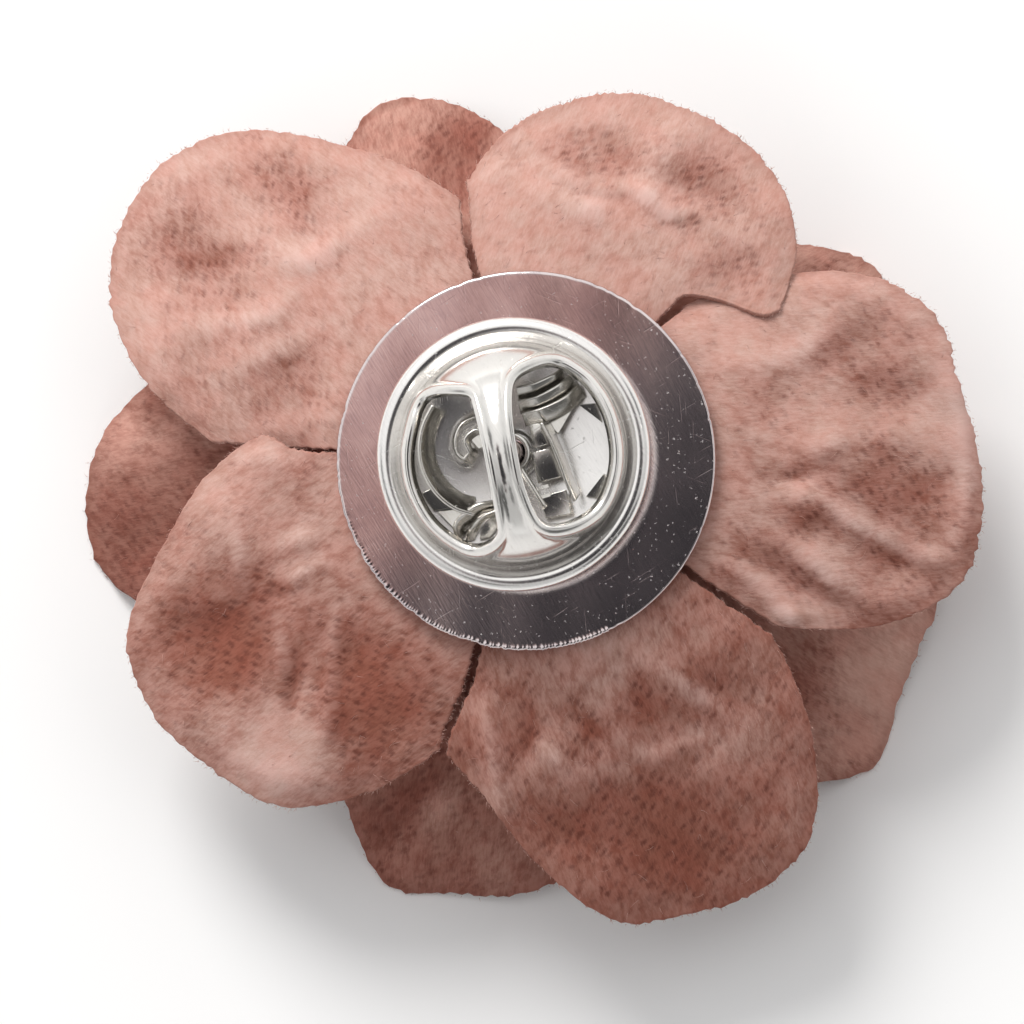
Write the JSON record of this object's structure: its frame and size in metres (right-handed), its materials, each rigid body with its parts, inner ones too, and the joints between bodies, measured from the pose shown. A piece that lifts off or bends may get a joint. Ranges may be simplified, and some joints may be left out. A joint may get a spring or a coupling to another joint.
{
  "type": "flower lapel pin",
  "caption": "Cloth flower on a polished metal disc with a pin post, held by a squeeze clutch with two windows; lies on its face.",
  "frame": {"origin": "middle of the disc's back face, where the lapel's cloth bears", "axes": "+Z out of the flower's back along the post, +Y up and +X right as the flower is seen from the back"},
  "size_m": [0.0385, 0.0352, 0.0172],
  "materials": {
    "suede_cloth": "short-napped dusty pink cloth, pressed",
    "nickel_disc": "polished nickel with fine scratches",
    "nickel_clutch": "bright nickel",
    "spring_steel": "plated spring strip"
  },
  "bodies": {
    "flower": {"outer_petal_1": "suede_cloth", "outer_petal_2": "suede_cloth", "outer_petal_3": "suede_cloth", "outer_petal_4": "suede_cloth", "outer_petal_5": "suede_cloth", "middle_petal_1": "suede_cloth", "middle_petal_2": "suede_cloth", "middle_petal_3": "suede_cloth", "middle_petal_4": "suede_cloth", "middle_petal_5": "suede_cloth", "inner_petal_1": "suede_cloth", "inner_petal_2": "suede_cloth", "inner_petal_3": "suede_cloth", "inner_petal_4": "suede_cloth", "inner_petal_5": "suede_cloth", "centre_button": "suede_cloth", "backing_disc": "nickel_disc"},
    "clutch": {"clutch_base": "nickel_clutch", "clutch_wings": "nickel_clutch", "grip_spring": "spring_steel"}
  },
  "joints": [
    {"name": "clutch_slide", "type": "slide", "parent": "flower", "child": "clutch", "axis": [0, 0, 1], "range_m": [-0.0009, 0.0035]}
  ]
}
